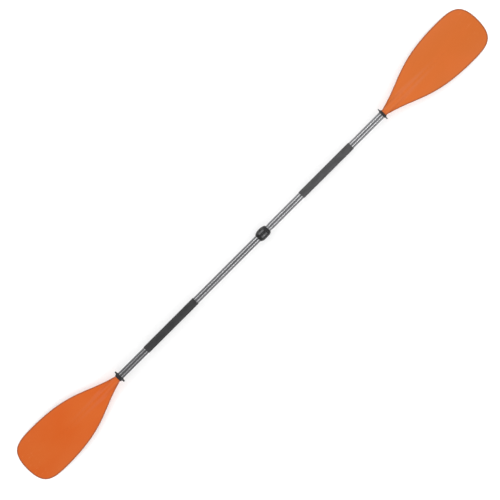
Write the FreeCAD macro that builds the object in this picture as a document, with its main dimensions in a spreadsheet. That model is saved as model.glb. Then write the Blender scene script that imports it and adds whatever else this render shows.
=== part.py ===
import FreeCAD, Part
import math
import os
import re
import Sketcher

# Kayak paddle that comes apart in the middle. Millimetres, +X along the shaft, +Z up.
# It lies on the tips of its blades, power faces down, with x = 0 half way between the tips.

doc = FreeCAD.newDocument("kayak_paddle")
sizes = doc.addObject("Spreadsheet::Sheet", "Sizes")

DRIVING_SIZES = [
    # whole paddle
    ("overall_length", 2206),
    ("blade_length", 458),          # end of the tube to the tip of the blade
    ("axis_height", 0),             # shaft axis above the floor, set below from the blade's depth
    # shaft tubes
    ("shaft_radius", 13),
    ("shaft_bore", 12),
    ("split_width", 1.6),
    ("split_middle", 1.2),          # the split sits just beyond the shaft's centre line
    ("split_length", 40),
    # blade, in the plan
    ("neck_radius", 12.4),
    ("neck_length", 9),
    ("blade_half_width", 91),
    ("widest_place", 347),
    ("flare_start_x", 124),
    ("flare_start_y", 41.5),
    ("flare_end_x", 158),
    ("corner_start_x", 424),
    ("corner_width", 83),
    # blade, through its thickness
    ("root_thickness", 4.6),
    ("tip_thickness", 2.8),
    ("tip_drop", 26),
    ("bend_start", 150),
    ("bend_middle", 310),
    ("bend_middle_drop", 9),
    ("camber_radius", 480),
    ("camber_angle", 25),
    ("ridge_shoulder", 75),
    ("ridge_shoulder_radius", 10.5),
    ("ridge_middle", 180),
    ("ridge_middle_radius", 6.5),
    ("ridge_end", 330),
    ("ridge_end_radius", 1.6),
    ("spigot_radius", 11.9),
    ("spigot_length", 60),
    ("spigot_bore", 8.6),
    ("spigot_depth", 64),
    # fixing of the blade
    ("blade_pin_radius", 2),
    ("blade_pin_length", 25.6),
    ("blade_pin_place", 30),
    ("bung_length", 80),
    ("bung_gap", 3),
    # drip rings
    ("ring_radius", 23.6),
    ("ring_bore", 13.05),
    ("ring_thickness", 3.8),
    ("ring_root_thickness", 5.4),
    ("ring_hub_radius", 14.9),
    ("ring_hub_inner", 4.5),        # hub length towards the grip
    ("ring_hub_outer", 9),          # hub length towards the blade
    ("ring_inset", 2.5),            # disc's middle inboard of the end of the tube
    # grips
    ("grip_radius", 14.2),
    ("grip_bore", 13.05),
    ("grip_length", 242),
    ("grip_edge", 0.6),
    ("left_grip_start", 269),
    ("right_grip_start", 247),
    # insert tube and its guide
    ("shoulder_place", 95.5),
    ("insert_radius", 11.93),
    ("insert_bore", 10.93),
    ("insert_free_length", 165),
    ("insert_fixed_length", 60),
    ("plug_shank_radius", 10.88),
    ("plug_shank_length", 18),
    ("plug_head_length", 5),
    ("plug_chamfer", 1),
    ("rivet_radius", 1.6),
    ("rivet_head_radius", 3.2),
    ("rivet_head_height", 1),
    ("rivet_reach", 3),
    ("rivet_first_place", 15),
    ("rivet_spacing", 30),
    # lock collar
    ("collar_start", 36),
    ("collar_length", 48.4),
    ("collar_bore", 13.05),
    ("collar_lip", 1.2),
    ("collar_lip_bore", 12.1),
    ("collar_end_radius", 15.2),
    ("collar_corner", 1.2),
    ("collar_middle_radius", 21),
    ("ear_centre_y", 8.5),
    ("ear_centre_z", 15.3),
    ("ear_radius", 7),
    ("ear_length", 31),
    ("pocket_length", 29),
    ("pocket_floor", 14.2),
    ("finger_room", 8),
    ("pocket_wall", -2.4),          # y of the face that carries the cam plate
    # cam lever
    ("lever_pin_y", -7.8),
    ("lever_pin_z", 17.2),
    ("lever_pin_radius", 2.5),
    ("lever_pin_length", 24.8),
    ("lever_pin_gap", 0.05),
    ("cam_radius", 3.8),
    ("cam_offset", 0.6),
    ("lever_length", 28),
    ("lever_inner_radius", 16.4),
    ("lever_outer_radius", 19.8),
    ("lever_end_radius", 18.9),
    ("lever_slot", 6.4),
    # cam plate, screw and washer
    ("plate_length", 24),
    ("plate_height", 5.4),
    ("plate_low", 14.6),
    ("plate_thickness", 0.8),
    ("screw_radius", 2),
    ("screw_hole", 2.3),
    ("thread_hole", 2.05),
    ("screw_end", -9.6),
    ("screw_head_radius", 3.5),
    ("screw_head_start", 8.05),
    ("screw_head_length", 4),
    ("socket_radius", 1.7),
    ("socket_depth", 2.2),
    ("washer_radius", 3.7),
    ("washer_bore", 2.2),
    ("washer_start", 7.4),
    ("washer_thickness", 0.6),
    ("counterbore", 3.95),
]
for row, (alias, value) in enumerate(DRIVING_SIZES, start=1):
    sizes.set("A%d" % row, alias)
    sizes.set("B%d" % row, str(value))
    sizes.setAlias("B%d" % row, alias)
doc.recompute()


# Tools for sketches whose corners are bound to the sheet.

def number(expression):
    """The present value of an expression, such as "shaft_radius + 2", on the sheet."""
    return float(sizes.evalExpression(expression))


def bound(expression):
    """The same expression written the way another object has to read it."""
    return re.sub(r"\b([a-z]\w*)(?![\w(])", r"Sizes.\1", expression)


def new_body(label):
    body = doc.addObject("PartDesign::Body", label)
    body.Label = label
    return body


def new_sketch(body, name, plane="XY_Plane", lift=None):
    """A sketch on one of the body's origin planes, raised along its normal by an expression."""
    sketch = body.newObject("Sketcher::SketchObject", name)
    origin_plane = [item for item in body.Origin.OriginFeatures if item.Role == plane][0]
    sketch.AttachmentSupport = [(origin_plane, "")]
    sketch.MapMode = "FlatFace"
    if lift:
        sketch.setExpression("AttachmentOffset.Base.z", bound(lift))
    return sketch


def pin_point(sketch, geometry, end, place):
    """Hold one point of the sketch at a pair of expressions."""
    for direction, expression in zip(("DistanceX", "DistanceY"), place):
        index = sketch.addConstraint(
            Sketcher.Constraint(direction, -1, 1, geometry, end, number(expression)))
        sketch.setExpression("Constraints[%d]" % index, bound(expression))


def vector(place):
    return FreeCAD.Vector(number(place[0]), number(place[1]), 0)


def draw_line(sketch, start, end, construction=False):
    geometry = sketch.addGeometry(Part.LineSegment(vector(start), vector(end)), construction)
    pin_point(sketch, geometry, 1, start)
    pin_point(sketch, geometry, 2, end)


def draw_path(sketch, corners):
    """Straight lines from each corner, a pair of expressions, to the next."""
    for start, end in zip(corners, corners[1:]):
        draw_line(sketch, start, end)


def draw_outline(sketch, corners):
    """A closed polygon."""
    draw_path(sketch, corners + corners[:1])


def draw_curve(sketch, poles):
    """One smooth cubic curve from the first of its four poles to the last."""
    curve = Part.BezierCurve()
    curve.setPoles([vector(pole) for pole in poles])
    geometry = sketch.addGeometry(curve.toBSpline(), False)
    sketch.exposeInternalGeometry(geometry)
    for index, pole in enumerate(poles, start=1):
        pin_point(sketch, geometry + index, 3, pole)


def draw_circle(sketch, centre, radius):
    circle = Part.Circle(vector(centre), FreeCAD.Vector(0, 0, 1), number(radius))
    geometry = sketch.addGeometry(circle, False)
    pin_point(sketch, geometry, 3, centre)
    index = sketch.addConstraint(Sketcher.Constraint("Radius", geometry, number(radius)))
    sketch.setExpression("Constraints[%d]" % index, bound(radius))


def revolve(body, sketch, name, axis="H_Axis", angle=None):
    """Turn the sketch about an axis: right round, or through an angle shared to both sides."""
    feature = body.newObject("PartDesign::Revolution", name)
    feature.Profile = sketch
    feature.ReferenceAxis = (sketch, [axis])
    if angle:
        feature.Midplane = True
        feature.setExpression("Angle", bound(angle))
    else:
        feature.Angle = 360


def pad(body, sketch, name, length, midplane=True, backwards=False):
    """Thicken the sketch: half of length each way, or all of it to one side."""
    feature = body.newObject("PartDesign::Pad", name)
    feature.Profile = sketch
    feature.setExpression("Length", bound(length))
    if midplane:
        feature.SideType = "Symmetric"
    feature.Reversed = backwards


def pocket(body, sketch, name, length=None):
    """Cut both ways from the sketch, by half of length each way or right through."""
    feature = body.newObject("PartDesign::Pocket", name)
    feature.Profile = sketch
    feature.SideType = "Symmetric"
    if length:
        feature.setExpression("Length", bound(length))
    else:
        feature.Type = "ThroughAll"


def cut_one_way(body, sketch, name, depth, with_normal=True):
    """Cut from the sketch along its normal, or against it."""
    feature = body.newObject("PartDesign::Pocket", name)
    feature.Profile = sketch
    feature.setExpression("Length", bound(depth))
    feature.Reversed = with_normal


def place(part, along="0", turned=False):
    """Put a part on the shaft's axis at x = along; turned parts face the left-hand blade."""
    part.setExpression("Placement.Base.x", bound(along))
    part.setExpression("Placement.Base.z", "Sizes.axis_height")
    if turned:
        part.Placement = FreeCAD.Placement(
            part.Placement.Base, FreeCAD.Rotation(FreeCAD.Vector(0, 0, 1), 180))


def turned_piece(label, corners, along="0", turned=False):
    """A round piece: its half profile, with x along the shaft, turned about the shaft's axis."""
    body = new_body(label)
    sketch = new_sketch(body, label + "_profile")
    draw_outline(sketch, corners)
    revolve(body, sketch, label + "_turning")
    place(body, along, turned)
    return body


TUBE_END = "overall_length / 2 - blade_length"


# Blade: a dished sheet trimmed to the outline, a ridge down its back and a spigot for the tube.
# Its own x = 0 is the end of the tube and +X runs to the tip.

def make_blade(label, turned):
    body = new_body(label)

    # The sheet bends down towards the tip and is cambered about an axis far below it.
    section = new_sketch(body, label + "_section", "XZ_Plane")
    top = [("0", "root_thickness / 2"),
           ("bend_start", "root_thickness / 2"),
           ("bend_middle", "tip_thickness / 2 - bend_middle_drop"),
           ("blade_length + 2", "tip_thickness / 2 - tip_drop")]
    bottom = [("blade_length + 2", "0 - tip_thickness / 2 - tip_drop"),
              ("bend_middle", "0 - tip_thickness / 2 - bend_middle_drop"),
              ("bend_start", "0 - root_thickness / 2"),
              ("0", "0 - root_thickness / 2")]
    draw_curve(section, top)
    draw_line(section, top[-1], bottom[0])
    draw_curve(section, bottom)
    draw_line(section, bottom[-1], top[0])
    draw_line(section, ("0", "0 - camber_radius"), ("blade_length", "0 - camber_radius"), True)
    revolve(body, section, label + "_sheet", axis="Axis0", angle="camber_angle")

    # Everything outside the outline is cut away.
    outline = new_sketch(body, label + "_outline")
    for side in ("", "0 - "):
        flare = [("neck_length", side + "neck_radius"),
                 ("flare_start_x", side + "flare_start_y"),
                 ("flare_end_x", side + "blade_half_width"),
                 ("widest_place", side + "blade_half_width")]
        end = [("widest_place", side + "blade_half_width"),
               ("corner_start_x", side + "blade_half_width"),
               ("blade_length", side + "corner_width"),
               ("blade_length", "0")]
        draw_curve(outline, flare)
        draw_curve(outline, end)
        draw_line(outline, ("0", side + "neck_radius"), ("neck_length", side + "neck_radius"))
    draw_line(outline, ("0", "0 - neck_radius"), ("0", "neck_radius"))
    draw_outline(outline, [("-20", "-140"), ("blade_length + 20", "-140"),
                           ("blade_length + 20", "140"), ("-20", "140")])
    pocket(body, outline, label + "_trimming")

    # The ridge runs from the round neck and fades out in the sheet.
    stations = [
        ("0", "0", "neck_radius"),
        ("neck_length", "0", "neck_radius"),
        ("ridge_shoulder", "0", "ridge_shoulder_radius"),
        ("ridge_middle", "0 - 0.5", "ridge_middle_radius"),
        ("ridge_end", "0 - bend_middle_drop - 0.5", "ridge_end_radius"),
    ]
    rings = []
    for index, (reach, height, radius) in enumerate(stations):
        ring = new_sketch(body, "%s_ridge_%d" % (label, index + 1), "YZ_Plane", reach)
        draw_circle(ring, ("0", height), radius)
        rings.append(ring)
    ridge = body.newObject("PartDesign::AdditiveLoft", label + "_ridge")
    ridge.Profile = rings[0]
    ridge.Sections = rings[1:]

    spigot = new_sketch(body, label + "_spigot_circle", "YZ_Plane")
    draw_circle(spigot, ("0", "0"), "spigot_radius")
    pad(body, spigot, label + "_spigot", "spigot_length", midplane=False, backwards=True)

    # The spigot is hollow, as a moulding of even wall thickness.
    hollow = new_sketch(body, label + "_spigot_hollow", "YZ_Plane", "0 - spigot_length")
    draw_circle(hollow, ("0", "0"), "spigot_bore")
    cut_one_way(body, hollow, label + "_spigot_core", "spigot_depth")

    cross_hole = new_sketch(body, label + "_pin_circle", "XZ_Plane")
    draw_circle(cross_hole, ("0 - blade_pin_place", "0"), "blade_pin_radius")
    pocket(body, cross_hole, label + "_pin_hole")
    place(body, "0 - (" + TUBE_END + ")" if turned else TUBE_END, turned)
    return body


left_blade = make_blade("left_blade", True)
right_blade = make_blade("right_blade", False)
doc.recompute()

# The blade's lowest corners touch the floor, which sets the height of everything else.
lowest = right_blade.Shape.optimalBoundingBox(False, False).ZMin
sizes.set(sizes.getCellFromAlias("axis_height"), "%.3f" % -lowest)
doc.recompute()


# Shaft tubes. Both are drawn aluminium; the left one is slit at its open end for the lock.

def make_shaft(label, start):
    """A tube from x = start to its blade, in its own frame: x = 0 is the blade end."""
    length = "(" + TUBE_END + " - (" + start + "))"
    body = turned_piece(label, [
        ("0 - " + length, "shaft_bore"), ("0", "shaft_bore"),
        ("0", "shaft_radius"), ("0 - " + length, "shaft_radius")])
    hole = new_sketch(body, label + "_pin_circle", "XZ_Plane")
    draw_circle(hole, ("0 - blade_pin_place", "0"), "blade_pin_radius")
    pocket(body, hole, label + "_pin_hole")
    return body


COLLAR_END = "collar_start + collar_length"
left_shaft = make_shaft("left_shaft", "0 - (" + COLLAR_END + " - collar_lip)")
SLIT_LEFT = "0 - (" + TUBE_END + " + " + COLLAR_END + ")"
slit = new_sketch(left_shaft, "left_shaft_slit_outline")
draw_outline(slit, [
    (SLIT_LEFT + " - 1", "0 - split_middle - split_width / 2"),
    (SLIT_LEFT + " + split_length", "0 - split_middle - split_width / 2"),
    (SLIT_LEFT + " + split_length", "0 - split_middle + split_width / 2"),
    (SLIT_LEFT + " - 1", "0 - split_middle + split_width / 2")])
cut_one_way(left_shaft, slit, "left_shaft_slit", "shaft_radius + 1")
place(left_shaft, "0 - (" + TUBE_END + ")", True)

right_shaft = make_shaft("right_shaft", "shoulder_place")
rivet_holes = new_sketch(right_shaft, "right_shaft_rivet_circles")
RIVET_PLACES = ["shoulder_place + rivet_first_place",
                "shoulder_place + rivet_first_place + rivet_spacing"]
for rivet_place in RIVET_PLACES:
    draw_circle(rivet_holes, (rivet_place + " - (" + TUBE_END + ")", "0"), "rivet_radius")
cut_one_way(right_shaft, rivet_holes, "right_shaft_rivet_cut", "shaft_radius + 1", False)
place(right_shaft, TUBE_END)

# Cross pins, flush with the tube, that hold the blades' spigots.
for label, along in (("left_blade_pin", "0 - (" + TUBE_END + " - blade_pin_place)"),
                     ("right_blade_pin", TUBE_END + " - blade_pin_place")):
    blade_pin = new_body(label)
    circle = new_sketch(blade_pin, label + "_circle", "XZ_Plane")
    draw_circle(circle, ("0", "0"), "blade_pin_radius")
    pad(blade_pin, circle, label + "_rod", "blade_pin_length")
    place(blade_pin, along)

# Foam bungs behind the spigots, rubber grips and drip rings, the same on both halves.
BUNG_END = "0 - spigot_length - bung_gap"
RING_CENTRE = "0 - ring_inset"
for side, turned in (("left", True), ("right", False)):
    end_of_tube = "0 - (" + TUBE_END + ")" if turned else TUBE_END
    turned_piece(side + "_bung", [
        (BUNG_END + " - bung_length", "0"), (BUNG_END, "0"),
        (BUNG_END, "spigot_radius"), (BUNG_END + " - bung_length", "spigot_radius")],
        end_of_tube, turned)
    turned_piece(side + "_drip_ring", [
        (RING_CENTRE + " - ring_hub_inner", "ring_bore"),
        (RING_CENTRE + " + ring_hub_outer", "ring_bore"),
        (RING_CENTRE + " + ring_hub_outer", "ring_hub_radius"),
        (RING_CENTRE + " + ring_root_thickness / 2", "ring_hub_radius"),
        (RING_CENTRE + " + ring_thickness / 2", "ring_radius - 1"),
        (RING_CENTRE + " + ring_thickness / 2 - 1", "ring_radius"),
        (RING_CENTRE + " - ring_thickness / 2 + 1", "ring_radius"),
        (RING_CENTRE + " - ring_thickness / 2", "ring_radius - 1"),
        (RING_CENTRE + " - ring_root_thickness / 2", "ring_hub_radius"),
        (RING_CENTRE + " - ring_hub_inner", "ring_hub_radius")],
        end_of_tube, turned)
    grip_start = side + "_grip_start"
    turned_piece(side + "_grip", [
        ("0", "grip_bore"), ("grip_length", "grip_bore"),
        ("grip_length", "grip_radius - grip_edge"), ("grip_length - grip_edge", "grip_radius"),
        ("grip_edge", "grip_radius"), ("0", "grip_radius - grip_edge")],
        "0 - " + grip_start if turned else grip_start, turned)


# Insert tube, which is riveted in the right-hand tube, and the plug in its free end.
# In its own frame x = 0 is the shoulder, where the right-hand tube begins.

insert_tube = turned_piece("insert_tube", [
    ("0 - insert_free_length", "insert_bore"), ("insert_fixed_length", "insert_bore"),
    ("insert_fixed_length", "insert_radius"), ("0 - insert_free_length", "insert_radius")],
    "shoulder_place")
insert_holes = new_sketch(insert_tube, "insert_tube_rivet_circles")
for rivet_place in ("rivet_first_place", "rivet_first_place + rivet_spacing"):
    draw_circle(insert_holes, (rivet_place, "0"), "rivet_radius")
cut_one_way(insert_tube, insert_holes, "insert_tube_rivet_cut", "insert_radius + 1", False)

turned_piece("guide_plug", [
    ("0 - plug_head_length", "0"), ("plug_shank_length", "0"),
    ("plug_shank_length", "plug_shank_radius"), ("0", "plug_shank_radius"),
    ("0", "insert_radius"), ("plug_chamfer - plug_head_length", "insert_radius"),
    ("0 - plug_head_length", "insert_radius - plug_chamfer")],
    "shoulder_place - insert_free_length")

# Two blind rivets on the underside: a low head outside the tube and a shank into the insert.
rivets = new_body("insert_rivets")
shank_sketch = new_sketch(rivets, "rivet_shanks", "XY_Plane", "0 - shaft_radius")
for rivet_place in RIVET_PLACES:
    draw_circle(shank_sketch, (rivet_place, "0"), "rivet_radius")
pad(rivets, shank_sketch, "rivet_shank_rods", "rivet_reach", midplane=False)
head_sketch = new_sketch(rivets, "rivet_heads", "XY_Plane", "0 - shaft_radius")
for rivet_place in RIVET_PLACES:
    draw_circle(head_sketch, (rivet_place, "0"), "rivet_head_radius")
pad(rivets, head_sketch, "rivet_head_discs", "rivet_head_height", midplane=False, backwards=True)
place(rivets)


# Lock. In its own frame x = 0 is the middle of the collar, y and z are measured from the shaft.

LOCK_MIDDLE = "collar_start + collar_length / 2"

# Collar: a barrel with one raised ear, split along its top, with a pocket for the lever.
collar = new_body("lock_collar")
barrel = new_sketch(collar, "collar_barrel")
draw_curve(barrel, [
    ("0 - collar_length / 2 + collar_corner", "collar_end_radius"),
    ("0 - collar_length * 0.28", "collar_middle_radius - 0.2"),
    ("0 - collar_length / 6", "collar_middle_radius"),
    ("0", "collar_middle_radius")])
draw_curve(barrel, [
    ("0", "collar_middle_radius"),
    ("collar_length / 6", "collar_middle_radius"),
    ("collar_length * 0.28", "collar_middle_radius - 0.2"),
    ("collar_length / 2 - collar_corner", "collar_end_radius")])
barrel_corners = [
    ("collar_length / 2 - collar_corner", "collar_end_radius"),
    ("collar_length / 2", "collar_end_radius - collar_corner"),
    ("collar_length / 2", "collar_lip_bore"),
    ("collar_length / 2 - collar_lip", "collar_lip_bore"),
    ("collar_length / 2 - collar_lip", "collar_bore"),
    ("0 - collar_length / 2", "collar_bore"),
    ("0 - collar_length / 2", "collar_end_radius - collar_corner"),
    ("0 - collar_length / 2 + collar_corner", "collar_end_radius")]
draw_path(barrel, barrel_corners)
revolve(collar, barrel, "collar_turning")

# The ear is a long round bulge: a half outline turned about its own axis, parallel to the shaft.
ear = new_sketch(collar, "collar_ear_outline", "XZ_Plane", "0 - ear_centre_y")
EAR_TOP = "ear_centre_z + ear_radius"
for side in ("0 - ", ""):
    draw_curve(ear, [
        (side + "ear_length / 2", "ear_centre_z"),
        (side + "ear_length / 2", "ear_centre_z + 0.7 * ear_radius"),
        (side + "(ear_length / 2 - 0.4 * ear_radius)", EAR_TOP),
        (side + "(ear_length / 2 - ear_radius)", EAR_TOP)])
draw_line(ear, ("0 - (ear_length / 2 - ear_radius)", EAR_TOP), ("ear_length / 2 - ear_radius", EAR_TOP))
draw_line(ear, ("ear_length / 2", "ear_centre_z"), ("0 - ear_length / 2", "ear_centre_z"))
draw_line(ear, ("0 - ear_length", "ear_centre_z"), ("ear_length", "ear_centre_z"), True)
revolve(collar, ear, "collar_ear", axis="Axis0")

# Lever pocket: from the plate's wall round the side to finger room beyond the lever's tip.
lever_room = new_sketch(collar, "collar_pocket_outline", "YZ_Plane")
draw_outline(lever_room, [
    ("pocket_wall", "collar_middle_radius + 8"),
    ("pocket_wall", "0 - finger_room"),
    ("0 - collar_middle_radius * 1.3", "0 - collar_middle_radius * 1.1 - finger_room"),
    ("0 - collar_middle_radius * 1.3", "collar_middle_radius + 8")])
pocket(collar, lever_room, "collar_lever_pocket", "pocket_length")

# A thin sleeve is left under the pocket. The bore and the split are cut through it and the ear.
sleeve = new_sketch(collar, "collar_sleeve_circle", "YZ_Plane")
draw_circle(sleeve, ("0", "0"), "pocket_floor")
pad(collar, sleeve, "collar_sleeve", "collar_length - 2 * collar_lip")
bore = new_sketch(collar, "collar_bore_circle", "YZ_Plane")
draw_circle(bore, ("0", "0"), "collar_bore")
pocket(collar, bore, "collar_bore_cut", "collar_length - 2 * collar_lip")
split = new_sketch(collar, "collar_split_outline", "YZ_Plane")
draw_outline(split, [
    ("split_middle - split_width / 2", "0"), ("split_middle + split_width / 2", "0"),
    ("split_middle + split_width / 2", "collar_middle_radius + 8"),
    ("split_middle - split_width / 2", "collar_middle_radius + 8")])
pocket(collar, split, "collar_split")

# Screw hole through both ears, and the counterbore for its head in the far ear.
screw_hole = new_sketch(collar, "collar_screw_circle", "XZ_Plane")
draw_circle(screw_hole, ("0", "lever_pin_z"), "screw_hole")
pocket(collar, screw_hole, "collar_screw_hole")
head_room = new_sketch(collar, "collar_counterbore_circle", "XZ_Plane", "0 - 30")
draw_circle(head_room, ("0", "lever_pin_z"), "counterbore")
cut_one_way(collar, head_room, "collar_counterbore", "30 - washer_start")
place(collar, LOCK_MIDDLE)

# Cam lever: a curved arm that continues the barrel, and two cam knuckles on the pin.
lever = new_body("cam_lever")
arm = new_sketch(lever, "lever_arm_section")
draw_curve(arm, [
    ("0 - lever_length / 2", "0 - lever_end_radius"),
    ("0 - lever_length / 4", "0 - lever_outer_radius"),
    ("lever_length / 4", "0 - lever_outer_radius"),
    ("lever_length / 2", "0 - lever_end_radius")])
arm_corners = [
    ("lever_length / 2", "0 - lever_end_radius"), ("lever_length / 2", "0 - lever_inner_radius"),
    ("0 - lever_length / 2", "0 - lever_inner_radius"),
    ("0 - lever_length / 2", "0 - lever_end_radius")]
draw_path(arm, arm_corners)
revolve(lever, arm, "lever_arm", angle="90")

cam = new_sketch(lever, "lever_cam_circle", "YZ_Plane")
draw_circle(cam, ("lever_pin_y + cam_offset", "lever_pin_z"), "cam_radius")
pad(lever, cam, "lever_cam", "lever_pin_length")
web = new_sketch(lever, "lever_web_outline", "YZ_Plane")
draw_outline(web, [
    ("lever_pin_y - 0.5", "lever_pin_z + cam_radius - 0.4"),
    ("lever_pin_y - 1", "lever_pin_z - cam_radius + 0.3"),
    ("0 - lever_inner_radius * 0.8", "lever_inner_radius * 0.6"),
    ("0 - lever_outer_radius * 0.78", "lever_outer_radius * 0.62")])
pad(lever, web, "lever_web", "lever_pin_length")
screw_room = new_sketch(lever, "lever_slot_circle", "YZ_Plane")
draw_circle(screw_room, ("lever_pin_y + cam_offset", "lever_pin_z"), "cam_radius + 0.6")
pocket(lever, screw_room, "lever_slot_cut", "lever_slot")
pin_room = new_sketch(lever, "lever_pin_circle", "YZ_Plane")
draw_circle(pin_room, ("lever_pin_y", "lever_pin_z"), "lever_pin_radius + lever_pin_gap")
pocket(lever, pin_room, "lever_pin_hole")
place(lever, LOCK_MIDDLE)

# Lever pin: a barrel nut, tapped across its middle for the tension screw.
lever_pin = new_body("lever_pin")
pin_circle = new_sketch(lever_pin, "pin_circle", "YZ_Plane")
draw_circle(pin_circle, ("lever_pin_y", "lever_pin_z"), "lever_pin_radius")
pad(lever_pin, pin_circle, "pin_rod", "lever_pin_length")
thread = new_sketch(lever_pin, "pin_thread_circle", "XZ_Plane")
draw_circle(thread, ("0", "lever_pin_z"), "thread_hole")
pocket(lever_pin, thread, "pin_thread_hole")
place(lever_pin, LOCK_MIDDLE)

# Cam plate: a thin steel strip on the ear's wall, with a hole for the screw.
plate = new_body("cam_plate")
plate_outline = new_sketch(plate, "plate_outline", "XZ_Plane", "0 - pocket_wall")
draw_outline(plate_outline, [
    ("0 - plate_length / 2", "plate_low"), ("plate_length / 2", "plate_low"),
    ("plate_length / 2", "plate_low + plate_height"),
    ("0 - plate_length / 2", "plate_low + plate_height")])
draw_circle(plate_outline, ("0", "lever_pin_z"), "screw_hole")
pad(plate, plate_outline, "plate_strip", "plate_thickness", midplane=False)
place(plate, LOCK_MIDDLE)

# Tension screw, with a hexagon socket, and its washer: turned about the screw's own axis.
screw = new_body("tension_screw")
screw_profile = new_sketch(screw, "screw_profile")
draw_outline(screw_profile, [
    ("0", "screw_end"), ("screw_radius", "screw_end"),
    ("screw_radius", "screw_head_start"), ("screw_head_radius", "screw_head_start"),
    ("screw_head_radius", "screw_head_start + screw_head_length"),
    ("0", "screw_head_start + screw_head_length")])
revolve(screw, screw_profile, "screw_turning", axis="V_Axis")
socket = new_sketch(screw, "screw_socket_outline", "XZ_Plane",
                    "0 - screw_head_start - screw_head_length")
hexagon = []
for corner in range(6):
    turn = math.radians(60 * corner)
    hexagon.append(("socket_radius * %.6f" % math.cos(turn), "socket_radius * %.6f" % math.sin(turn)))
draw_outline(socket, hexagon)
cut_one_way(screw, socket, "screw_socket", "socket_depth")

washer = new_body("screw_washer")
washer_profile = new_sketch(washer, "washer_profile")
draw_outline(washer_profile, [
    ("washer_bore", "washer_start"), ("washer_radius", "washer_start"),
    ("washer_radius", "washer_start + washer_thickness"),
    ("washer_bore", "washer_start + washer_thickness")])
revolve(washer, washer_profile, "washer_turning", axis="V_Axis")
for part in (screw, washer):
    part.setExpression("Placement.Base.x", bound(LOCK_MIDDLE))
    part.setExpression("Placement.Base.z", "Sizes.axis_height + Sizes.lever_pin_z")

doc.recompute()


# Check every object, then write one file for each sub-part.

failed = [item.Name for item in doc.Objects
          if "Invalid" in item.State or "Error" in item.State]
if failed:
    raise RuntimeError("these objects failed: " + ", ".join(failed))
sub_parts = [item for item in doc.Objects if item.TypeId == "PartDesign::Body"]
for part in sub_parts:
    if part.Shape.isNull() or not part.Shape.isValid() or not part.Shape.Solids:
        raise RuntimeError(part.Label + " has no valid solid")
    for feature in part.Group:
        if feature.TypeId in ("PartDesign::Pocket", "PartDesign::Groove"):
            if feature.Shape.Volume > feature.BaseFeature.Shape.Volume - 0.1:
                raise RuntimeError(feature.Label + " cuts nothing")

os.makedirs("parts", exist_ok=True)
for part in sub_parts:
    part.Shape.exportStep("parts/%s.step" % part.Label)
    print("%-18s %d solid(s) %10.1f mm3" % (part.Label, len(part.Shape.Solids), part.Shape.Volume))
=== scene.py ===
import math

import bmesh
import bpy
import numpy as np
from mathutils import Matrix, Vector


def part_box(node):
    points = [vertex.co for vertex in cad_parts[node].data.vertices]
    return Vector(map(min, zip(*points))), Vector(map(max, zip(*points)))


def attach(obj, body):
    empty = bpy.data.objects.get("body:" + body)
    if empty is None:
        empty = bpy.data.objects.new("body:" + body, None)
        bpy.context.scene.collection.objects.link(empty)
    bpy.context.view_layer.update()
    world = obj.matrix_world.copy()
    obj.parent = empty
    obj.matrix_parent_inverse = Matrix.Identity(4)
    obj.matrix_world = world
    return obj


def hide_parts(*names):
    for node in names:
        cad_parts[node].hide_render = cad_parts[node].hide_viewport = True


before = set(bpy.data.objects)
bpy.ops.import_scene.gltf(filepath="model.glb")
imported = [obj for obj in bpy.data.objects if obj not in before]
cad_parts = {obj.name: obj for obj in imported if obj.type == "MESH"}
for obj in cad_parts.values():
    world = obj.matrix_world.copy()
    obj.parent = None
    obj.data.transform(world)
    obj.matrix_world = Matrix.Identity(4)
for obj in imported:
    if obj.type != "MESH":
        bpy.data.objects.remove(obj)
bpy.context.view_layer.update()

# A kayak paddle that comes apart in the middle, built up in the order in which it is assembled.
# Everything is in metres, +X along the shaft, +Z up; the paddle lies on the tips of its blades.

# ---------------------------------------------------------------------------------------------
# Blades. Both come from one mould, in orange polypropylene: a dished sheet, a ridge down its
# back that takes the load to the shaft, and a hollow spigot, glued and pinned in the tube's end.

MM = 0.001
grip_low, grip_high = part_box("right_grip")
AXIS_HEIGHT = (grip_low.z + grip_high.z) / 2
shaft_low, shaft_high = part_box("right_shaft")
TUBE_END = shaft_high.x
TUBE_RADIUS = (shaft_high.z - shaft_low.z) / 2
blade_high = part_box("right_blade")[1]
BLADE_LENGTH = blade_high.x - TUBE_END
BLADE_HALF_WIDTH = blade_high.y
NECK_LENGTH, NECK_RADIUS = 9 * MM, 12.4 * MM


def bezier(poles, count):
    """Points of a cubic curve: its four poles weighted by the Bernstein polynomials of t."""
    t = np.linspace(0, 1, count)[:, None]
    a, b, c, d = np.array(poles, float)
    return (1 - t) ** 3 * a + 3 * t * (1 - t) ** 2 * b + 3 * t * t * (1 - t) * c + t ** 3 * d


def ramp(value, low, high):
    """0 below low, 1 above high, and the smooth cubic 3r^2 - 2r^3 of the share r between."""
    r = np.clip((value - low) / (high - low), 0, 1)
    return r * r * (3 - 2 * r)


def grid_faces(rows, columns):
    """Quads between neighbouring rows and columns of a grid whose last column meets its first."""
    row = np.arange(rows - 1)[:, None]
    column = np.arange(columns)[None, :]
    beside = (column + 1) % columns
    corners = (row * columns + column, row * columns + beside,
               (row + 1) * columns + beside, (row + 1) * columns + column)
    return np.stack(corners, axis=-1).reshape(-1, 4)


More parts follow.
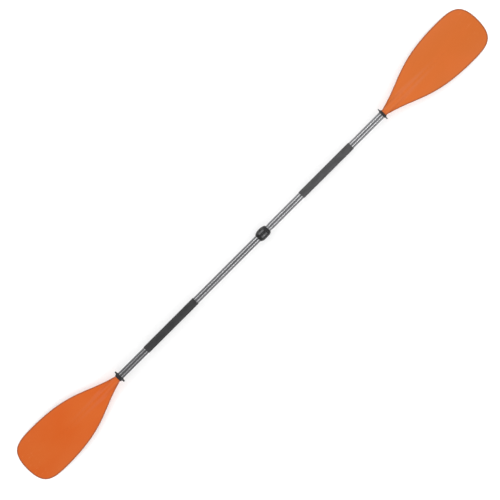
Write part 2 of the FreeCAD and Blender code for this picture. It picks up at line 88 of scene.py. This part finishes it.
def new_piece(name, points, body, field=None):
    """A mesh object from a grid of points, with its faces outwards and its crisp edges kept.

    field may be a name and a value for each point, which the piece keeps for its material.
    """
    mesh = bpy.data.meshes.new(name)
    faces = grid_faces(*points.shape[:2])
    mesh.from_pydata(points.reshape(-1, 3).tolist(), [], faces.tolist())
    if field:
        kept = mesh.attributes.new(field[0], "FLOAT", "POINT")
        kept.data.foreach_set("value", field[1].ravel())
    work = bmesh.new()
    work.from_mesh(mesh)
    bmesh.ops.remove_doubles(work, verts=work.verts, dist=MM / 1000)
    bmesh.ops.dissolve_degenerate(work, edges=work.edges, dist=MM / 1000)
    bmesh.ops.recalc_face_normals(work, faces=work.faces)
    work.to_mesh(mesh)
    work.free()
    mesh.shade_smooth()
    mesh.set_sharp_from_angle(angle=math.radians(40))
    piece = bpy.data.objects.new(name, mesh)
    bpy.context.scene.collection.objects.link(piece)
    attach(piece, body)
    return piece


def blade_outline():
    """Half of the blade's outline, as (x, half width), and the place each section starts from.

    The outline is the straight neck, a cubic flare out to the widest place, and a cubic round
    the end. A section starts on the centre line, straight beside its end on the outline down to
    the widest place; from there the starts advance by the share of the end curve's length and
    stop short of the tip, so that the sections fan out round the end.
    """
    widest, fan_from_tip = 347 * MM, 75 * MM
    neck = np.stack([np.linspace(0, NECK_LENGTH, 5), np.full(5, NECK_RADIUS)], axis=1)
    flare = bezier([(NECK_LENGTH, NECK_RADIUS), (124 * MM, 41.5 * MM),
                    (158 * MM, BLADE_HALF_WIDTH), (widest, BLADE_HALF_WIDTH)], 110)
    end = bezier([(widest, BLADE_HALF_WIDTH), (424 * MM, BLADE_HALF_WIDTH),
                  (BLADE_LENGTH, 83 * MM), (BLADE_LENGTH, 0)], 100)
    outline = np.vstack([neck, flare[1:], end[1:]])
    steps = np.hypot(*np.diff(end, axis=0).T)
    share = np.cumsum(steps) / steps.sum()
    starts = np.concatenate([outline[:-len(share), 0],
                             widest + (BLADE_LENGTH - fan_from_tip - widest) * share])
    return outline, starts


def blade_points():
    """Closed sections of the blade from the spigot's bottom to the tip, as rows of a grid.

    Across the blade the points are spaced by a sine, closest at the rim. A face's height is the
    middle surface plus or minus the larger of half the sheet's thickness, which is rounded off
    at the rim as a quarter ellipse, and the ridge, whose section across the blade is
    height * (1 - (y / half width)^2) ^ bulge. Also returns each point's distance from the rim.
    """
    outline, starts = blade_outline()
    across = np.sin(np.linspace(-math.pi / 2, math.pi / 2, 71))
    reach = outline[:, :1] - starts[:, None]
    x = starts[:, None] + np.abs(across) * reach
    y = across * outline[:, 1:]
    inside = (1 - np.abs(across)) * np.hypot(reach, outline[:, 1:])

    # middle surface: bent down towards the tip, and cambered about an axis well below it
    camber_radius, tip_drop = 480 * MM, 26 * MM
    bend = bezier([(0, 0), (150 * MM, 0), (310 * MM, -9 * MM),
                   (BLADE_LENGTH + 2 * MM, -tip_drop)], 200)
    drop = np.interp(x, bend[:, 0], bend[:, 1])
    middle = np.sqrt((camber_radius + drop) ** 2 - y ** 2) - camber_radius

    # the sheet thins from root to tip, its rim is rounded and its back carries a low bead
    half_at_root, thinning, rim_width = 2.3 * MM, 0.9 * MM, 2.0 * MM
    bead_height, bead_inside, bead_width = 0.35 * MM, 3.2 * MM, 1.1 * MM
    half_sheet = half_at_root - thinning * ramp(x, 0, BLADE_LENGTH)
    sheet = half_sheet * np.sqrt(1 - (1 - np.clip(inside / rim_width, 0, 1)) ** 2)
    bead = (bead_height * np.exp(-((inside - bead_inside) / bead_width) ** 2)
            * ramp(x, 20 * MM, 60 * MM))

    def face(ridge_end, fade, spread):
        """One face's height over the middle surface: the larger of the sheet and the ridge.

        The ridge falls as (1 - share of its length) ^ fade and widens by spread. Its bulge goes
        from 0.5, a round neck, to 1.4, a ridge with hollow sides. Where the two differ by less
        than blend, overlap is 1 - difference / blend, and overlap^2 * blend / 4 is added, which
        rounds the crease between them.
        """
        least, narrowing, soft_crease, above_zero = 0.1 * MM, 6 * MM, 8 * MM, 1e-6
        along = np.clip((x - NECK_LENGTH) / (ridge_end - NECK_LENGTH), 0, 1)
        height = NECK_RADIUS * (1 - along) ** fade
        half = np.clip(NECK_RADIUS + spread * ramp(x, 20 * MM, 110 * MM) - narrowing * along,
                       least, outline[:, 1:] + least)
        bulge = 0.5 + 0.9 * ramp(x, 15 * MM, 160 * MM)
        section = 1 - (y / half) ** 2
        ridge = height * np.sign(section) * np.abs(section) ** bulge
        blend = 0.8 * height * np.clip(inside / soft_crease, 0, 1) + above_zero
        overlap = np.clip(blend - np.abs(ridge - sheet), 0, None) / blend
        return np.maximum(ridge, sheet) + overlap ** 2 * blend / 4

    back = middle + (face(350 * MM, 1.2, 5.5 * MM) + bead)
    hollow_side = middle - face(170 * MM, 1.9, 2 * MM)
    upper = np.stack([x, y, back], axis=-1)
    lower = np.stack([x, y, hollow_side], axis=-1)[:, -2:0:-1]
    blade_rows = np.concatenate([upper, lower], axis=1)

    # spigot: from the bottom of its bore, out round its end face and back to the neck
    spigot_radius, bore_radius = 11.9 * MM, 8.6 * MM
    bottom, mouth = 4 * MM, -60 * MM
    stations = [(bottom, 0), (bottom, bore_radius), (mouth + 2 * MM, bore_radius),
                (mouth, bore_radius + MM), (mouth, spigot_radius - MM),
                (mouth + MM, spigot_radius), (0, spigot_radius)]
    ring_y = np.concatenate([across, across[-2:0:-1]])
    ring_side = np.where(np.arange(len(ring_y)) < len(across), 1, -1)
    ring_z = np.sqrt(1 - ring_y ** 2) * ring_side
    spigot_rows = [np.stack([np.full_like(ring_y, place), radius * ring_y, radius * ring_z], axis=1)
                   for place, radius in stations]

    far_from_rim = np.full((len(stations), len(ring_y)), 50 * MM)
    to_rim = np.concatenate([far_from_rim, np.concatenate([inside, inside[:, -2:0:-1]], axis=1)])
    return np.concatenate([np.array(spigot_rows), blade_rows]), to_rim


class Field:
    """A number that varies over a surface, as one socket. Arithmetic on it adds Math nodes."""

    def __init__(self, finish, socket):
        self.finish = finish
        self.socket = socket

    def math(self, operation, *others):
        """A Math node of that operation, on this field and the others."""
        return self.finish.node("ShaderNodeMath", {"operation": operation}, self, *others)

    def __add__(self, other):
        return self.math("ADD", other)

    __radd__ = __add__

    def __mul__(self, other):
        return self.math("MULTIPLY", other)

    __rmul__ = __mul__

    def __sub__(self, other):
        return self.math("SUBTRACT", other)

    def __rsub__(self, other):
        return self * -1 + other

    def between(self, low, high):
        """0 at low and below, 1 at high and above, and a smooth step between them."""
        smooth = {"interpolation_type": "SMOOTHSTEP"}
        return self.finish.node("ShaderNodeMapRange", smooth, self, low, high, 0.0, 1.0)


class Finish:
    """One material: a Principled shader, its fixed values, and the fields that feed it."""

    def __init__(self, name, **fixed):
        self.material = bpy.data.materials.new(name)
        self.material.use_nodes = True
        self.nodes = self.material.node_tree.nodes
        self.shader = self.nodes["Principled BSDF"]
        self.feed(**fixed)

    def node(self, kind, settings, *values, output=0, **named):
        """A node of that kind: its settings first, then its sockets in order or by identifier."""
        made = self.nodes.new(kind)
        for setting, value in settings.items():
            setattr(made, setting, value)
        by_identifier = {socket.identifier: socket for socket in made.inputs}
        named_pairs = [(by_identifier[key], value) for key, value in named.items()]
        for socket, value in list(zip(made.inputs, values)) + named_pairs:
            self.connect(socket, value)
        outputs = {socket.identifier: socket for socket in made.outputs}
        return Field(self, outputs[output] if isinstance(output, str) else made.outputs[output])

    def connect(self, socket, value):
        """Links a field to the socket, or sets the socket to a fixed value."""
        if isinstance(value, Field):
            self.material.node_tree.links.new(value.socket, socket)
        else:
            socket.default_value = value

    def feed(self, **values):
        """Connects values to the shader's sockets, named with _ for a space."""
        for socket, value in values.items():
            self.connect(self.shader.inputs[socket.replace("_", " ")], value)

    def coordinate(self, axis):
        """Object coordinate X, Y or Z in metres."""
        here = self.node("ShaderNodeTexCoord", {}, output="Object")
        return self.node("ShaderNodeSeparateXYZ", {}, here, output=axis)

    def noise(self, scale, detail=3.0, stretch=(1, 1, 1)):
        """Soft noise from about 0.3 to 0.7 with a grain of 1 / scale metres.

        The object coordinates are multiplied by stretch first, so 0.25 makes the grain 4 times
        as long along that axis.
        """
        here = self.node("ShaderNodeTexCoord", {}, output="Object")
        place = self.node("ShaderNodeMapping", {}, Vector=here, Scale=stretch)
        return self.node("ShaderNodeTexNoise", {}, Vector=place, Scale=scale, Detail=detail)

    def mix(self, share, first, second):
        """One colour into another by a field."""
        return self.node("ShaderNodeMix", {"data_type": "RGBA"}, Factor_Float=share,
                         A_Color=first, B_Color=second, output="Result_Color")

    def bump(self, height, distance, strength):
        """Relief of that height field, distance metres deep at full strength."""
        self.feed(Normal=self.node("ShaderNodeBump", {}, Height=height, Distance=distance,
                                   Strength=strength))


def dress(piece, finish):
    """Gives the piece that one finish in place of whatever it has."""
    piece.data.materials.clear()
    piece.data.materials.append(finish.material)


# painted light falloff: the left blade's orange is a darker, painted-shade copy of the right
# blade's, as if the light fell off towards the left
painted_shade_left_orange, painted_light_right_orange = (0.470, 0.076, 0.0025, 1), (0.438, 0.096, 0.010, 1)
pale_flow, scuffed = (0.480, 0.098, 0.010, 1), (0.60, 0.22, 0.08, 1)
rim_painted_shade = (0.20, 0.048, 0.012, 1)
orange = Finish("orange_polypropylene", Specular_IOR_Level=0.25)
flow = orange.noise(9.0, 2.0, (0.5, 1.0, 1.0)).between(0.35, 0.65)
grain = orange.noise(1400.0, 2.0)
along = orange.coordinate("X")
near_tip = along.math("ABSOLUTE").between(0.97, 1.10)
scuffs = orange.noise(260.0, 4.0, (0.25, 1.0, 1.0)).between(0.60, 0.74) * near_tip
to_rim = orange.node("ShaderNodeAttribute", {"attribute_name": "to_rim"}, output="Fac")
# painted shade: the blade is painted darker within a few mm of its rounded rim
rim = 1 - to_rim.between(1.5 * MM, 6.5 * MM)
# painted light falloff: the orange runs from the painted-shade left colour to the painted-light
# right colour along the paddle
orange_with_painted_falloff = orange.mix(along.between(-0.6, 0.6), painted_shade_left_orange, painted_light_right_orange)
moulded = orange.mix(flow * 0.5, orange_with_painted_falloff, pale_flow)
worn = orange.mix(scuffs * 0.3, moulded, scuffed)
orange.feed(Base_Color=orange.mix(rim * 0.70, worn, rim_painted_shade),
            Roughness=0.42 + 0.10 * flow + 0.12 * scuffs + 0.05 * grain)
orange.bump(grain + 0.4 * scuffs, 0.06 * MM, 0.5)

mould_rows, rim_distance = blade_points()
for node, body, outwards in (("left_blade", "left_half", -1), ("right_blade", "right_half", 1)):
    placed = mould_rows * (outwards, outwards, 1) + (outwards * TUBE_END, 0, AXIS_HEIGHT)
    blade = new_piece(node + "_moulding", placed, body, field=("to_rim", rim_distance))
    dress(blade, orange)
    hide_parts(node)

# ---------------------------------------------------------------------------------------------
# Shaft tubes. Drawn aluminium, 26 mm outside with a 1 mm wall, and a dark satin anodised skin
# that shows the die's fine lengthwise lines. The left tube ends inside the lock, and the right
# one in a shoulder beside it. Each tube has a blade's spigot in its far end.

TUBE_WALL = 1 * MM


def rounded(corners, radius):
    """A polygon with each corner replaced by a curve.

    The curve is (1-t)^2 P + 2t(1-t) C + t^2 Q, for the corner C and the places P and Q on its
    two sides, which are radius from it, or less on a short side.
    """
    points_each, most_of_side = 5, 0.45
    corners = np.array(corners, float)
    ends = []
    for neighbour in (1, -1):
        side = np.roll(corners, neighbour, axis=0) - corners
        length = np.hypot(side[:, 0], side[:, 1])[:, None]
        ends.append(corners + side * np.minimum(radius / length, most_of_side))
    t = np.linspace(0, 1, points_each)[None, :, None]
    start, corner, end = ends[0][:, None], corners[:, None], ends[1][:, None]
    return ((1 - t) ** 2 * start + 2 * t * (1 - t) * corner + t * t * end).reshape(-1, 2)


def turned(name, profile, body):
    """A round piece: a closed loop of (x, radius) turned about the shaft's axis."""
    segments = 128
    turn = np.linspace(0, 2 * math.pi, segments, endpoint=False)
    points = np.stack([np.repeat(profile[:, :1], segments, axis=1),
                       profile[:, 1:] * np.cos(turn),
                       profile[:, 1:] * np.sin(turn) + AXIS_HEIGHT], axis=-1)
    return new_piece(name, np.concatenate([points, points[:1]]), body)


def tube_section(start, end, radius, bore, edge):
    """The rounded rectangle that a tube's wall makes on one side of its axis."""
    return rounded([(start, bore), (end, bore), (end, radius), (start, radius)], edge)


def grey(value):
    """A neutral colour of that linear value, a shade cooler than grey."""
    return (value, value, value * 1.03, 1)


def drawn_aluminium(name, left, right, roughness):
    """Anodised tube: lengthwise drawing lines in colour, gloss and relief, and faint clouds.

    The skin's grey goes from left to right along the paddle, a painted light falloff that paints
    the left end darker, in shade.
    """
    finish = Finish(name, Metallic=1.0, Specular_IOR_Level=0.5)
    lines = finish.noise(700.0, 3.0, (0.004, 1.0, 1.0))
    fine_lines = finish.noise(2600.0, 2.0, (0.002, 1.0, 1.0))
    clouds = finish.noise(30.0, 3.0, (0.25, 1.0, 1.0))
    painted_light_falloff = finish.coordinate("X").between(-0.70, 0.25)
    skin = finish.mix(painted_light_falloff, grey(left), grey(right))
    paler_tone_and_painted_highlight = finish.mix(painted_light_falloff, grey(left * 1.25), grey(right * 1.25))
    pattern = (lines * 0.7 + clouds * 0.3).between(0.36, 0.64)
    finish.feed(Base_Color=finish.mix(pattern, skin, paler_tone_and_painted_highlight),
                Roughness=roughness + 0.10 * (lines - 0.5) + 0.06 * (clouds - 0.5))
    finish.bump(lines + 0.5 * fine_lines, 0.03 * MM, 0.4)
    return finish


# painted light falloff: the shaft's grey runs from 0.088 at the left end, a painted shade, to 0.165
# at the right
anodised = drawn_aluminium("anodised_shaft", 0.088, 0.165, 0.23)
for node, body in (("left_shaft", "left_half"), ("right_shaft", "right_half")):
    low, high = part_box(node)
    wall = tube_section(low.x, high.x, TUBE_RADIUS, TUBE_RADIUS - TUBE_WALL, 0.3 * MM)
    tube = turned(node + "_tube", wall, body)
    dress(tube, anodised)
    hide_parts(node)

# ---------------------------------------------------------------------------------------------
# Insert tube. A narrower anodised tube that is held in the right half by two blind rivets and
# slides in the left one. A moulded nylon plug closes its end and guides it.

low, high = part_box("insert_tube")
insert_radius = (high.z - low.z) / 2
wall = tube_section(low.x, high.x, insert_radius, insert_radius - TUBE_WALL, 0.3 * MM)
insert = turned("insert_sliding_tube", wall, "right_half")
# the insert's two greys carry the same painted light falloff
dress(insert, drawn_aluminium("anodised_insert", 0.110, 0.150, 0.30))
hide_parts("insert_tube")

rivet_metal = Finish("rivet_aluminium", Metallic=1.0)
rivet_grain = rivet_metal.noise(1200.0)
bright = rivet_metal.mix(rivet_grain, (0.50, 0.50, 0.51, 1), (0.66, 0.66, 0.67, 1))
rivet_metal.feed(Base_Color=bright, Roughness=0.34 + 0.16 * rivet_grain)
dress(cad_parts["insert_rivets"], rivet_metal)


def black_nylon(name, worn_from, worn_to):
    """Glass-filled nylon, fine-grained and smeared.

    Its high places are painted paler between the two given heights above the shaft's axis: a
    painted highlight.
    """
    finish = Finish(name, Specular_IOR_Level=0.25)
    grain = finish.noise(1500.0)
    smears = finish.noise(90.0).between(0.40, 0.68)
    above_axis = finish.coordinate("Z") - AXIS_HEIGHT
    # painted highlight: the share painted paler grey rises between the two heights above the axis
    paler_tone_and_painted_highlight = above_axis.between(worn_from, worn_to) * (0.6 + 0.4 * smears)
    skin = finish.mix(smears, grey(0.006), grey(0.012))
    finish.feed(Base_Color=finish.mix(paler_tone_and_painted_highlight, skin, grey(0.110)),
                Roughness=0.27 + 0.12 * smears + 0.08 * grain + 0.10 * paler_tone_and_painted_highlight)
    finish.bump(grain, 0.05 * MM, 0.5)
    return finish


# the two heights place the painted highlight along the top of the collar's ear
lock_nylon = black_nylon("lock_nylon", 21.0 * MM, 22.3 * MM)
dress(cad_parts["guide_plug"], lock_nylon)

# ---------------------------------------------------------------------------------------------
# Inside each tube's far end: a steel pin through the tube and the blade's spigot, and a bung of
# closed-cell foam pressed in behind the spigot, which keeps the water out of the shaft.

steel = Finish("dark_steel", Metallic=1.0)
turning_marks = steel.noise(1800.0, 3.0, (0.08, 1.0, 1.0))
steel.feed(Base_Color=steel.mix(turning_marks, (0.13, 0.13, 0.135, 1), (0.22, 0.22, 0.225, 1)),
           Roughness=0.26 + 0.16 * turning_marks)
foam = Finish("bung_foam", Specular_IOR_Level=0.3)
cells = foam.noise(900.0, 4.0).between(0.35, 0.65)
foam.feed(Base_Color=foam.mix(cells, (0.52, 0.52, 0.49, 1), (0.74, 0.74, 0.71, 1)),
          Roughness=0.82 + 0.12 * cells)
foam.bump(cells, 0.4 * MM, 0.8)
for node, finish in (("left_bung", foam), ("right_bung", foam),
                     ("left_blade_pin", steel), ("right_blade_pin", steel)):
    dress(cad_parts[node], finish)

# ---------------------------------------------------------------------------------------------
# Grips. Thin matt rubber sleeves shrunk on to the tubes, so that their ends are thin and round
# and their skin is slightly pebbled. The left one is given the darker colour.

RUBBER_BORE = 13.05 * MM
for node, body, dark, light in (
        ("left_grip", "left_half", (0.013, 0.013, 0.014, 1), (0.026, 0.026, 0.027, 1)),
        ("right_grip", "right_half", (0.034, 0.034, 0.035, 1), (0.054, 0.054, 0.056, 1))):
    rubber = Finish(node + "_rubber", Specular_IOR_Level=0.30)
    pebbles = rubber.noise(520.0, 2.0).between(0.36, 0.64)
    patches = rubber.noise(70.0, 3.0, (0.5, 1.0, 1.0)).between(0.35, 0.65)
    rubber.feed(Base_Color=rubber.mix(pebbles * 0.5 + patches * 0.5, dark, light),
                Roughness=0.66 + 0.14 * pebbles)
    rubber.bump(pebbles + 0.3 * rubber.noise(2200.0), 0.25 * MM, 0.6)
    low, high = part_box(node)
    wall = tube_section(low.x, high.x, (high.z - low.z) / 2, RUBBER_BORE, 0.9 * MM)
    grip = turned(node + "_sleeve", wall, body)
    dress(grip, rubber)
    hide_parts(node)

# ---------------------------------------------------------------------------------------------
# Drip rings. Soft black rubber rings that grip the tube by a hub and throw off the water with a
# thin waisted disc. They slide, and the hub is tapered towards the blade. The left hub is the
# longer one.

ring_rubber = Finish("ring_rubber", Specular_IOR_Level=0.25)
bloom = ring_rubber.noise(160.0, 4.0).between(0.36, 0.66)
bloomed = ring_rubber.mix(bloom, (0.008, 0.008, 0.009, 1), (0.020, 0.020, 0.021, 1))
ring_rubber.feed(Base_Color=bloomed, Roughness=0.50 + 0.18 * bloom)
ring_rubber.bump(ring_rubber.noise(1300.0), 0.08 * MM, 0.5)


def ring_profile(inner_end, outer_end):
    """A ring's section as (distance from the disc's middle, radius), both in metres.

    It runs along the bore, down the tapered hub, out along one side of the disc, round its rim
    and back along the other.
    """
    bore, hub, disc = RUBBER_BORE / MM, 14.9, 23.6
    return rounded([(inner_end, bore), (outer_end, bore), (outer_end, 13.9), (outer_end - 2.2, hub),
                    (3.4, hub), (2.3, 16.4), (1.5, 21.5), (1.9, disc), (-1.9, disc),
                    (-1.5, 21.5), (-2.3, 16.4), (-3.3, hub), (inner_end, 14.3)], 0.9) * MM


INNER_END = -4.5
for node, body, outwards, outer_end in (("left_drip_ring", "left_ring", -1, 9.0),
                                        ("right_drip_ring", "right_ring", 1, 5.4)):
    low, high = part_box(node)
    inner_face = high.x if outwards < 0 else low.x
    profile = ring_profile(INNER_END, outer_end)
    profile[:, 0] = inner_face - outwards * INNER_END * MM + outwards * profile[:, 0]
    ring = turned(node + "_rubber", profile, body)
    dress(ring, ring_rubber)
    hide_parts(node)

# ---------------------------------------------------------------------------------------------
# Lock. A split collar moulded in black glass-filled nylon grips the slit end of the left tube.
# A screw through its ear pulls a steel pin, and the lever's two cams on that pin bear on a thin
# steel plate, so that closing the lever shuts the split; the lever then lies flush.


def moulded_copy(node, body, edge_width):
    """A merged copy of a CAD node, its flat triangles joined and its hard edges bevelled."""
    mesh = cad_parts[node].data.copy()
    work = bmesh.new()
    work.from_mesh(mesh)
    bmesh.ops.remove_doubles(work, verts=work.verts, dist=0.002 * MM)
    bmesh.ops.dissolve_limit(work, angle_limit=math.radians(0.5),
                             verts=work.verts, edges=work.edges)
    work.to_mesh(mesh)
    work.free()
    mesh.shade_smooth()
    mesh.set_sharp_from_angle(angle=math.radians(18))
    piece = bpy.data.objects.new(node + "_moulding", mesh)
    bpy.context.scene.collection.objects.link(piece)
    bevel = piece.modifiers.new("soft_edges", "BEVEL")
    bevel.width = edge_width
    bevel.segments = 3
    bevel.limit_method = "ANGLE"
    bevel.angle_limit = math.radians(24)
    bevel.harden_normals = True
    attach(piece, body)
    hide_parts(node)
    return piece


# the two heights place the painted highlight on the tops of the lever's knuckles
lever_nylon = black_nylon("lever_nylon", 18.6 * MM, 20.8 * MM)
for node, body, finish, slot in (("lock_collar", "left_half", lock_nylon, "lock_plastic"),
                                 ("cam_lever", "lever", lever_nylon, "lever_plastic")):
    moulding = moulded_copy(node, body, 0.35 * MM)
    dress(moulding, finish)
for node in ("lever_pin", "cam_plate", "tension_screw", "screw_washer"):
    dress(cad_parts[node], steel)

# ---------------------------------------------------------------------------------------------
# Stage. A pale floor, white surroundings, two long soft lights over the paddle's sides, and a
# camera almost straight above, which shows the paddle from lower left to upper right.

floor_reach = 9
floor_mesh = bpy.data.meshes.new("studio_floor")
floor_mesh.from_pydata([(-floor_reach, -floor_reach, 0), (floor_reach, -floor_reach, 0),
                        (floor_reach, floor_reach, 0), (-floor_reach, floor_reach, 0)],
                       [], [(0, 1, 2, 3)])
floor = bpy.data.objects.new("studio_floor", floor_mesh)
bpy.context.scene.collection.objects.link(floor)
dress(floor, Finish("studio_paper", Base_Color=(0.96, 0.96, 0.96, 1), Roughness=0.9))

world = bpy.data.worlds.new("studio")
world.use_nodes = True
surroundings = world.node_tree.nodes["Background"].inputs
surroundings["Color"].default_value = (1, 1, 1, 1)
surroundings["Strength"].default_value = 0.76
bpy.context.scene.world = world
bpy.context.scene.view_settings.view_transform = "Standard"

for name, side in (("left_side_light", 1), ("right_side_light", -1)):
    strip = bpy.data.lights.new(name, "AREA")
    strip.shape = "RECTANGLE"
    strip.size, strip.size_y = 4.4, 0.4
    strip.energy = 68
    lamp = bpy.data.objects.new(name, strip)
    lamp.location = (0.2, side * 2.1, 2.1)
    lamp.rotation_euler = (-lamp.location).to_track_quat("-Z", "Y").to_euler()
    bpy.context.scene.collection.objects.link(lamp)

camera_data = bpy.data.cameras.new("camera")
camera_data.lens = 200
camera_data.sensor_width = 36
camera = bpy.data.objects.new("camera", camera_data)
bpy.context.scene.collection.objects.link(camera)
bpy.context.scene.camera = camera
aim = Vector((-12.0 * MM, -8.5 * MM, AXIS_HEIGHT))
distance, lean = 9.594, math.radians(3.08)
backwards = Vector((math.sin(lean), 0, math.cos(lean)))
diagonal = Vector((1, 1, 0)).normalized()
up_way = (diagonal - backwards * diagonal.dot(backwards)).normalized()
right_way = up_way.cross(backwards)
turn = Matrix((right_way, up_way, backwards)).transposed().to_4x4()
camera.matrix_world = Matrix.Translation(aim + backwards * distance) @ turn

bpy.context.view_layer.update()
